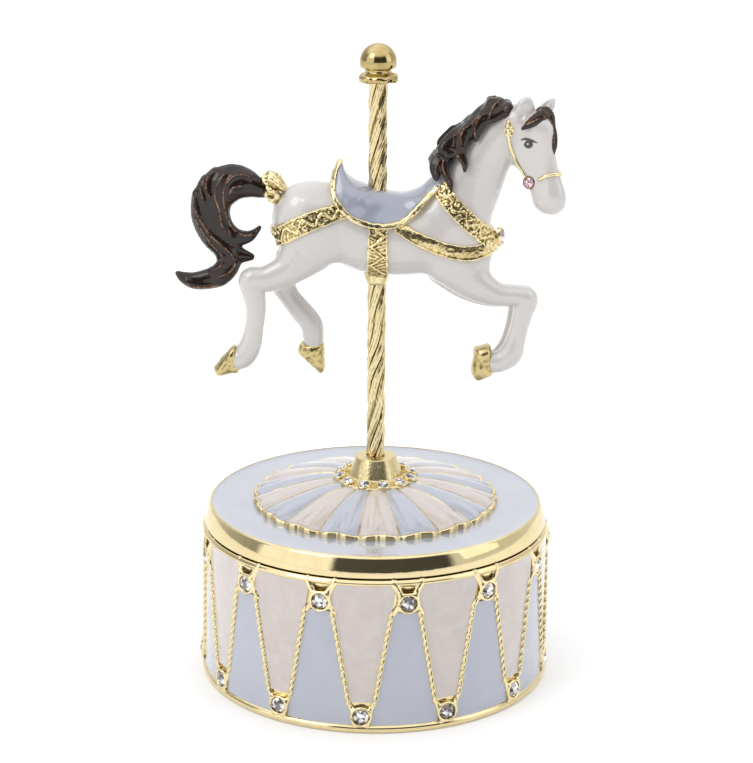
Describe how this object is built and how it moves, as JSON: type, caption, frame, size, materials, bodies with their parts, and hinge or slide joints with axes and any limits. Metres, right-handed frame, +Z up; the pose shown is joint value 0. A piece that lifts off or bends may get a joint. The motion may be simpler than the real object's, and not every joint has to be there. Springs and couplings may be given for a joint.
{
  "type": "wind-up music box",
  "caption": "Round enamelled drum with crystal settings and a turning lid that carries a carousel horse on a twisted pole; key underneath, clockwork and comb inside.",
  "frame": {"origin": "centre of the drum's resting face, on the pole's axis", "axes": "+Z up along the pole, +X towards the horse's head, -Y towards its near side"},
  "size_m": [0.09, 0.0852, 0.1514],
  "materials": {
    "gold_plate": "polished gold plate with darker recesses",
    "enamel_blue": "glossy periwinkle enamel",
    "enamel_cream": "glossy pearl cream enamel",
    "enamel_white": "glossy white enamel",
    "enamel_dark": "glossy brown-black enamel with copper edges",
    "crystal_clear": "cut clear crystal",
    "crystal_pink": "cut pink crystal",
    "brass_plain": "satin brass",
    "steel_plain": "brushed steel",
    "nylon": "natural nylon"
  },
  "bodies": {
    "drum": {"drum_casting": "gold_plate", "drum_enamel_blue": "enamel_blue", "drum_enamel_cream": "enamel_cream", "drum_crystals_upper": "crystal_clear", "drum_crystals_lower": "crystal_clear", "bottom_plate": "gold_plate", "bottom_screws": "steel_plain", "bedplate": "brass_plain", "movement_screws": "steel_plain", "barrel_bridge": "brass_plain", "slip_washer": "nylon", "comb": "steel_plain", "comb_anvil": "brass_plain", "comb_screws": "steel_plain", "cylinder_bracket": "brass_plain", "governor_frame": "brass_plain", "click_post": "steel_plain"},
    "click": {"click": "steel_plain"},
    "key": {"winding_key": "gold_plate", "spring_arbor": "steel_plain", "ratchet_wheel": "steel_plain"},
    "turntable": {"spring_barrel": "brass_plain", "crown_wheel": "brass_plain", "barrel_cap": "brass_plain", "mainspring": "steel_plain", "output_shaft": "steel_plain", "lid_hub": "brass_plain", "hub_screws": "steel_plain", "lid_plate": "gold_plate", "lid_enamel": "enamel_blue", "dome_shell": "gold_plate", "dome_cream": "enamel_cream", "dome_blue": "enamel_blue", "pole_collar": "gold_plate", "collar_crystals": "crystal_clear", "pole": "gold_plate", "finial": "gold_plate", "horse_body": "enamel_white", "hooves": "gold_plate", "mane": "enamel_dark", "forelock": "enamel_dark", "tail": "enamel_dark", "tail_bow": "gold_plate", "saddle": "enamel_blue", "saddle_trim": "gold_plate", "girth_strap": "gold_plate", "shoulder_strap": "gold_plate", "breast_strap": "gold_plate", "rump_strap": "gold_plate", "bridle": "gold_plate", "noseband": "gold_plate", "bridle_crystals": "crystal_pink", "breast_gem": "crystal_pink"},
    "cylinder": {"music_cylinder": "brass_plain", "cylinder_arbor": "steel_plain", "cylinder_wheel": "brass_plain"},
    "governor": {"governor_wheel": "brass_plain", "governor_arbor": "steel_plain"},
    "fan": {"worm": "steel_plain", "fly": "steel_plain"}
  },
  "joints": [
    {"name": "turntable_spin", "type": "hinge", "parent": "drum", "child": "turntable", "pos_m": [0, 0, 0.03], "axis": [0, 0, 1], "continuous": true},
    {"name": "cylinder_spin", "type": "hinge", "parent": "drum", "child": "cylinder", "pos_m": [0.02, 0, 0.01987], "axis": [1, 0, 0], "continuous": true},
    {"name": "governor_spin", "type": "hinge", "parent": "drum", "child": "governor", "pos_m": [0.032, 0.00572, 0.02669], "axis": [1, 0, 0], "continuous": true},
    {"name": "fan_spin", "type": "hinge", "parent": "drum", "child": "fan", "pos_m": [0.0324, 0.01212, 0.03], "axis": [0, 0, 1], "continuous": true},
    {"name": "key_wind", "type": "hinge", "parent": "drum", "child": "key", "pos_m": [0, 0, 0.01], "axis": [0, 0, 1], "continuous": true},
    {"name": "click_lift", "type": "hinge", "parent": "drum", "child": "click", "pos_m": [0.0072, 0.0064, 0.013], "axis": [0, 0, 1], "range_deg": [-12, 0]}
  ],
  "couplings": [
    {"joint": "cylinder_spin", "follows": "turntable_spin", "ratio": 3},
    {"joint": "governor_spin", "follows": "turntable_spin", "ratio": -12},
    {"joint": "fan_spin", "follows": "turntable_spin", "ratio": 288}
  ]
}
